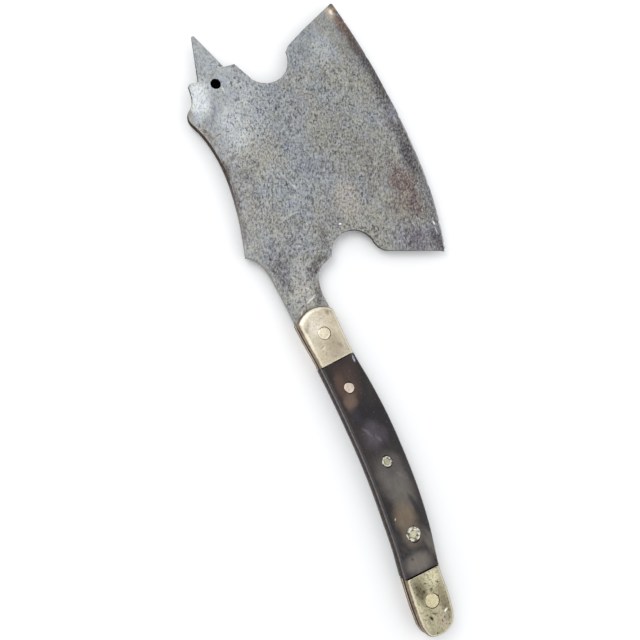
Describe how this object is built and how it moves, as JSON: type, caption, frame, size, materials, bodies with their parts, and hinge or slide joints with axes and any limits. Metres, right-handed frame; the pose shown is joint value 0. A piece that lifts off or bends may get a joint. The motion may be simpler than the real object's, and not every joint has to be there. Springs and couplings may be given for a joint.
{
  "type": "meat cleaver",
  "caption": "Old butcher's cleaver with a broad curved blade, finger notch, hanging hole and spike, and a riveted handle of dark horn scales between pale brass bolsters",
  "frame": {"origin": "Under the middle of the cleaver's bounding box, on the surface that it lies on, at the height of the lower bolsters' flat faces", "axes": "+X runs from the butt of the handle to the hanging spike, +Y points to the back of the blade with the cutting edge toward -Y, and +Z is the thickness, up through the upper face"},
  "size_m": [0.4111, 0.137, 0.016],
  "materials": {
    "blade_steel": "forged grey steel with a dark worn patina",
    "bolster_metal": "pale worn satin with a brown patina in the hollows",
    "dark_horn": "hand-polished dark horn with paler clouds",
    "pin_brass": "peened and filed flush",
    "washer_metal": "worn pale metal"
  },
  "bodies": {
    "root": {"blade_and_tang": "blade_steel", "front_bolster_upper": "bolster_metal", "front_bolster_lower": "bolster_metal", "horn_scale_upper": "dark_horn", "horn_scale_lower": "dark_horn", "butt_bolster_upper": "bolster_metal", "butt_bolster_lower": "bolster_metal", "front_bolster_pin": "pin_brass", "front_scale_pin": "pin_brass", "middle_scale_pin": "pin_brass", "rear_scale_pin": "pin_brass", "butt_bolster_pin": "pin_brass", "middle_scale_washer_upper": "washer_metal", "middle_scale_washer_lower": "washer_metal", "rear_scale_washer_upper": "washer_metal", "rear_scale_washer_lower": "washer_metal"}
  },
  "joints": []
}
